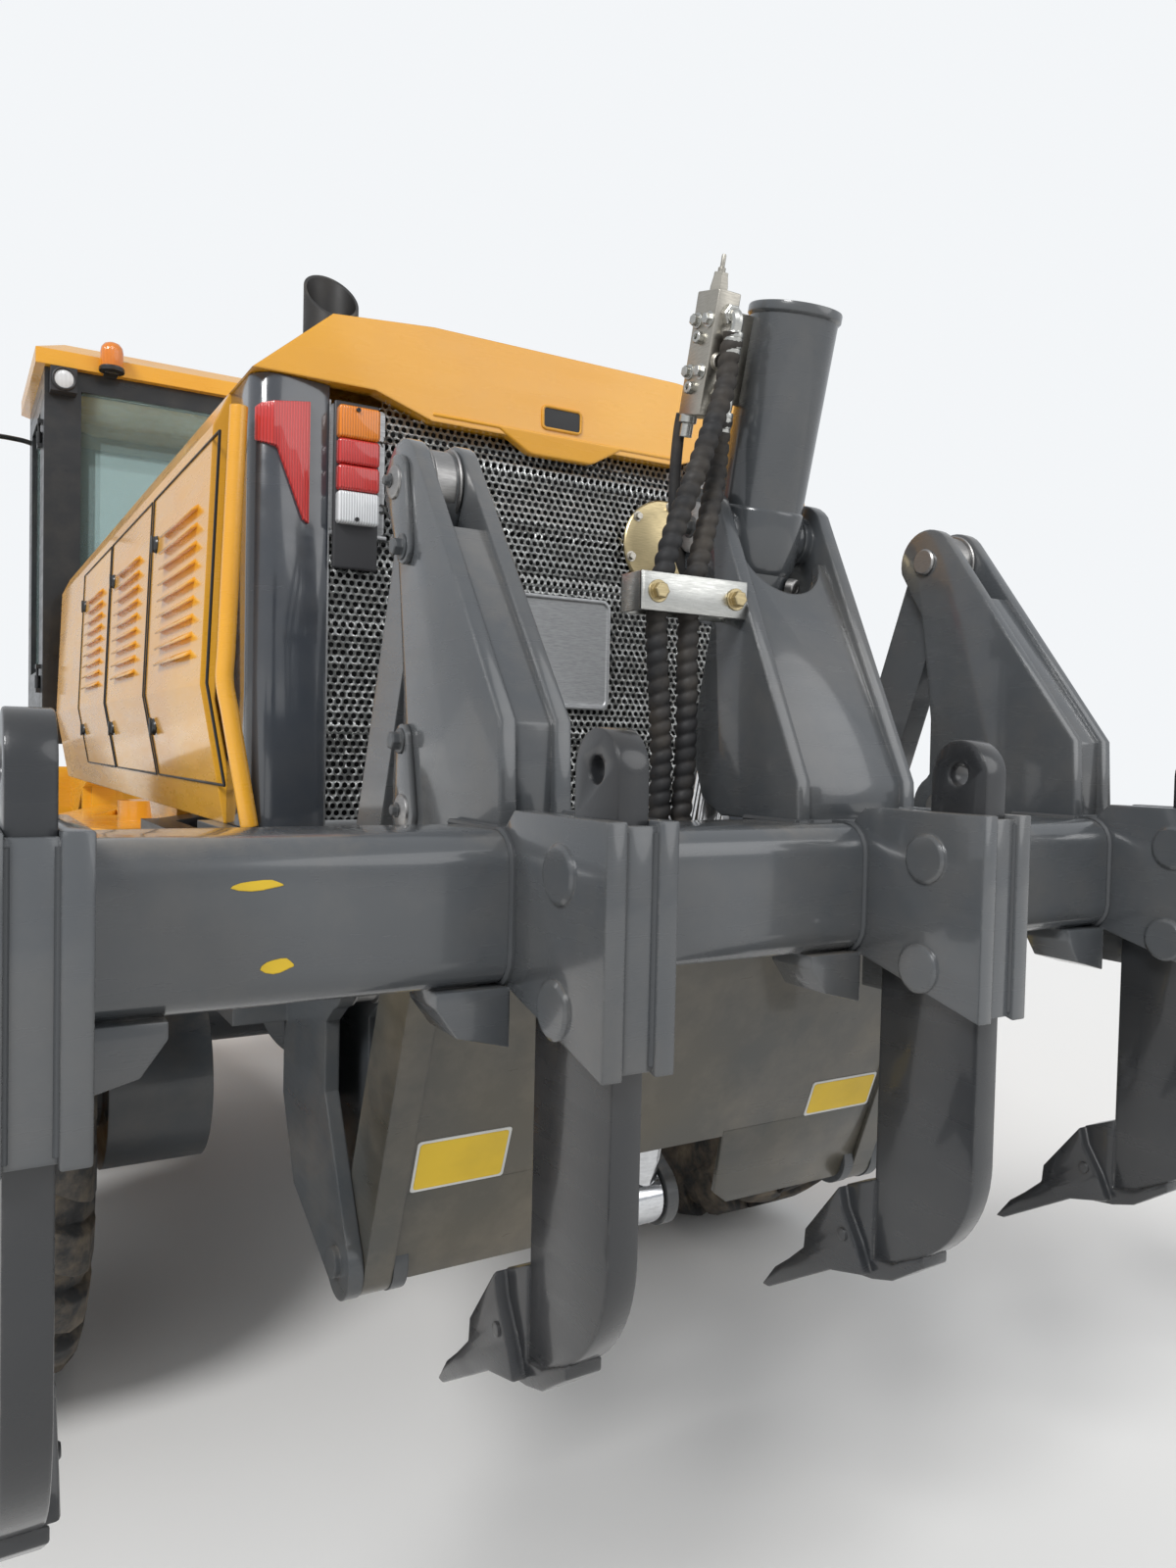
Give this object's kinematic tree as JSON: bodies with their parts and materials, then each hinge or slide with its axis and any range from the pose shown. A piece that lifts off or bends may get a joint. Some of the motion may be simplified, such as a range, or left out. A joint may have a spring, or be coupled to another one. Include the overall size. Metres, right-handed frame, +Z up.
{
  "type": "motor grader with rear ripper",
  "caption": "Six-wheeled articulated motor grader with a cab, a long blade under a turning circle and a hydraulic ripper beam at the tail.",
  "frame": {"origin": "on the ground under the middle of the whole machine's box", "axes": "+Y forward, from the ripper to the nose plate; +X to the right; +Z up"},
  "size_m": [3.66, 9.769, 3.371],
  "materials": {
    "yellow_paint": "satin",
    "graphite_paint": "satin",
    "rim_paint": "satin",
    "tyre_rubber": "matte",
    "grille_steel": "satin",
    "lamp_red": "gloss",
    "stack_black": "matte",
    "cab_black": "satin",
    "cab_glazing": "clear",
    "seat_fabric": "woven",
    "control_plastic": "matte",
    "lamp_housing": "matte",
    "rod_chrome": "polished",
    "valve_zinc": "satin",
    "hose_rubber": "matte",
    "blade_paint": "satin",
    "ripper_paint": "satin",
    "shank_paint": "satin"
  },
  "bodies": {
    "rear": {"rear_frame": "graphite_paint", "rear_axle": "graphite_paint", "engine": "graphite_paint", "hood": "yellow_paint", "rear_grille": "grille_steel", "corner_pillars": "graphite_paint", "rear_lamps": "lamp_red", "exhaust_stack": "stack_black"},
    "front": {"front_frame": "yellow_paint", "front_axle": "graphite_paint", "cab_shell": "cab_black", "cab_roof": "yellow_paint", "cab_glass": "cab_glazing", "cab_seat": "seat_fabric", "cab_controls": "control_plastic", "cab_lamps": "lamp_housing"},
    "left_door": {"left_door": "cab_black", "left_door_glass": "cab_glazing"},
    "right_door": {"right_door": "cab_black", "right_door_glass": "cab_glazing"},
    "ripper": {"ripper_frame": "ripper_paint", "ripper_shanks": "shank_paint"},
    "ripper_barrel": {"ripper_barrel": "ripper_paint", "ripper_valve": "valve_zinc", "ripper_hoses": "hose_rubber"},
    "wheel_rear_left_back": {"tyre_rear_left_back": "tyre_rubber", "rim_rear_left_back": "rim_paint"},
    "wheel_rear_left_front": {"tyre_rear_left_front": "tyre_rubber", "rim_rear_left_front": "rim_paint"},
    "wheel_rear_right_back": {"tyre_rear_right_back": "tyre_rubber", "rim_rear_right_back": "rim_paint"},
    "wheel_rear_right_front": {"tyre_rear_right_front": "tyre_rubber", "rim_rear_right_front": "rim_paint"},
    "wheel_front_left": {"tyre_front_left": "tyre_rubber", "rim_front_left": "rim_paint"},
    "wheel_front_right": {"tyre_front_right": "tyre_rubber", "rim_front_right": "rim_paint"},
    "left_knuckle": {"left_knuckle": "graphite_paint"},
    "right_knuckle": {"right_knuckle": "graphite_paint"},
    "tie_rod": {"tie_rod": "graphite_paint"},
    "drawbar": {"drawbar": "yellow_paint"},
    "circle": {"circle": "yellow_paint"},
    "blade_carriage": {"blade_carriage": "graphite_paint"},
    "moldboard": {"moldboard": "blade_paint"},
    "lift_barrels": {"lift_barrels": "graphite_paint"},
    "lift_rods": {"lift_rods": "rod_chrome"},
    "left_articulation_barrel": {"left_articulation_barrel": "graphite_paint"},
    "left_articulation_rod": {"left_articulation_rod": "rod_chrome"},
    "right_articulation_barrel": {"right_articulation_barrel": "graphite_paint"},
    "right_articulation_rod": {"right_articulation_rod": "rod_chrome"},
    "tip_barrel": {"tip_barrel": "graphite_paint"},
    "tip_rod": {"tip_rod": "rod_chrome"},
    "lower_link": {"lower_link": "ripper_paint"},
    "upper_links": {"upper_links": "ripper_paint"},
    "ripper_rod": {"ripper_rod": "rod_chrome"}
  },
  "joints": [
    {"name": "articulation", "type": "hinge", "parent": "rear", "child": "front", "pos_m": [0, -0.3155, 1.05], "axis": [0, 0, 1], "range_deg": [-20, 20]},
    {"name": "left_articulation_swing", "type": "hinge", "parent": "rear", "child": "left_articulation_barrel", "pos_m": [-0.5, -0.9555, 1.01], "axis": [0, 0, 1], "range_deg": [-6, 6]},
    {"name": "left_articulation_stroke", "type": "slide", "parent": "left_articulation_barrel", "child": "left_articulation_rod", "axis": [0.1117, 0.9937, 0], "range_m": [-0.1524, 0.1524]},
    {"name": "right_articulation_swing", "type": "hinge", "parent": "rear", "child": "right_articulation_barrel", "pos_m": [0.5, -0.9555, 1.01], "axis": [0, 0, 1], "range_deg": [-6, 6]},
    {"name": "right_articulation_stroke", "type": "slide", "parent": "right_articulation_barrel", "child": "right_articulation_rod", "axis": [-0.1117, 0.9937, 0], "range_m": [-0.1524, 0.1524]},
    {"name": "wheel_rear_left_back_spin", "type": "hinge", "parent": "rear", "child": "wheel_rear_left_back", "pos_m": [-1.092, -2.7845, 0.674], "axis": [1, 0, 0], "continuous": true},
    {"name": "wheel_rear_left_front_spin", "type": "hinge", "parent": "rear", "child": "wheel_rear_left_front", "pos_m": [-1.092, -1.2465, 0.674], "axis": [1, 0, 0], "continuous": true},
    {"name": "wheel_rear_right_back_spin", "type": "hinge", "parent": "rear", "child": "wheel_rear_right_back", "pos_m": [1.092, -2.7845, 0.674], "axis": [1, 0, 0], "continuous": true},
    {"name": "wheel_rear_right_front_spin", "type": "hinge", "parent": "rear", "child": "wheel_rear_right_front", "pos_m": [1.092, -1.2465, 0.674], "axis": [1, 0, 0], "continuous": true},
    {"name": "wheel_front_left_spin", "type": "hinge", "parent": "left_knuckle", "child": "wheel_front_left", "pos_m": [-1.092, 4.1245, 0.674], "axis": [1, 0, 0], "continuous": true},
    {"name": "wheel_front_right_spin", "type": "hinge", "parent": "right_knuckle", "child": "wheel_front_right", "pos_m": [1.092, 4.1245, 0.674], "axis": [1, 0, 0], "continuous": true},
    {"name": "steering", "type": "hinge", "parent": "front", "child": "left_knuckle", "pos_m": [-0.88, 4.1245, 0.674], "axis": [0, 0, 1], "range_deg": [-45, 45]},
    {"name": "steering_right", "type": "hinge", "parent": "front", "child": "right_knuckle", "pos_m": [0.88, 4.1245, 0.674], "axis": [0, 0, 1], "range_deg": [-46, 46]},
    {"name": "tie_rod_swing", "type": "hinge", "parent": "left_knuckle", "child": "tie_rod", "pos_m": [-0.88, 3.9245, 0.574], "axis": [0, 0, 1], "range_deg": [-46, 46]},
    {"name": "left_door_hinge", "type": "hinge", "parent": "front", "child": "left_door", "pos_m": [-0.757, -0.0005, 2.3], "axis": [0, 0, 1], "range_deg": [0, 95]},
    {"name": "right_door_hinge", "type": "hinge", "parent": "front", "child": "right_door", "pos_m": [0.757, -0.0005, 2.3], "axis": [0, 0, -1], "range_deg": [0, 95]},
    {"name": "drawbar_lift", "type": "hinge", "parent": "front", "child": "drawbar", "pos_m": [0, 3.7845, 0.85], "axis": [-1, 0, 0], "range_deg": [-14, 9]},
    {"name": "lift_barrel_swing", "type": "hinge", "parent": "front", "child": "lift_barrels", "pos_m": [0, 1.6845, 1.78], "axis": [1, 0, 0], "range_deg": [-2, 2]},
    {"name": "lift_stroke", "type": "slide", "parent": "lift_barrels", "child": "lift_rods", "axis": [0, 0, -1], "range_m": [-0.3317, 0.5132]},
    {"name": "circle_turn", "type": "hinge", "parent": "drawbar", "child": "circle", "pos_m": [0, 1.6245, 0.82], "axis": [0, 0, 1], "continuous": true},
    {"name": "blade_tip", "type": "hinge", "parent": "circle", "child": "blade_carriage", "pos_m": [0, 1.3245, 0.19], "axis": [-1, 0, 0], "range_deg": [-5, 40]},
    {"name": "tip_barrel_swing", "type": "hinge", "parent": "circle", "child": "tip_barrel", "pos_m": [0, 0.8245, 0.73], "axis": [1, 0, 0], "range_deg": [-2, 9]},
    {"name": "tip_stroke", "type": "slide", "parent": "tip_barrel", "child": "tip_rod", "axis": [0, 0.8645, -0.5026], "range_m": [-0.0277, 0.1865]},
    {"name": "blade_side_shift", "type": "slide", "parent": "blade_carriage", "child": "moldboard", "axis": [1, 0, 0], "range_m": [-0.5, 0.66]},
    {"name": "ripper_lower", "type": "hinge", "parent": "rear", "child": "lower_link", "pos_m": [0, -4.0545, 0.67], "axis": [1, 0, 0], "range_deg": [0, 85]},
    {"name": "ripper_frame_level", "type": "hinge", "parent": "lower_link", "child": "ripper", "pos_m": [0, -4.3345, 1.433], "axis": [1, 0, 0], "range_deg": [-86, 1]},
    {"name": "upper_link_swing", "type": "hinge", "parent": "rear", "child": "upper_links", "pos_m": [0, -4.0045, 1.142], "axis": [1, 0, 0], "range_deg": [-1, 86]},
    {"name": "ripper_barrel_swing", "type": "hinge", "parent": "ripper", "child": "ripper_barrel", "pos_m": [0, -4.3645, 1.885], "axis": [1, 0, 0], "range_deg": [-1, 60]},
    {"name": "ripper_stroke", "type": "slide", "parent": "ripper_barrel", "child": "ripper_rod", "axis": [0, 0.2472, -0.969], "range_m": [-0.37, 0.01]}
  ],
  "couplings": [
    {"joint": "left_articulation_swing", "follows": "articulation", "ratio": 0.226},
    {"joint": "left_articulation_stroke", "follows": "articulation", "m_per_rad": -0.4222},
    {"joint": "right_articulation_swing", "follows": "articulation", "ratio": 0.226},
    {"joint": "right_articulation_stroke", "follows": "articulation", "m_per_rad": 0.4222},
    {"joint": "steering_right", "follows": "steering", "ratio": 1},
    {"joint": "tie_rod_swing", "follows": "steering", "ratio": -1},
    {"joint": "lift_barrel_swing", "follows": "drawbar_lift", "ratio": 0.07},
    {"joint": "lift_stroke", "follows": "drawbar_lift", "m_per_rad": -2.08},
    {"joint": "tip_barrel_swing", "follows": "blade_tip", "ratio": 0.2},
    {"joint": "tip_stroke", "follows": "blade_tip", "m_per_rad": 0.26},
    {"joint": "ripper_frame_level", "follows": "ripper_lower", "ratio": -1},
    {"joint": "upper_link_swing", "follows": "ripper_lower", "ratio": 1},
    {"joint": "ripper_barrel_swing", "follows": "ripper_lower", "ratio": 0.68},
    {"joint": "ripper_stroke", "follows": "ripper_lower", "m_per_rad": -0.244}
  ]
}
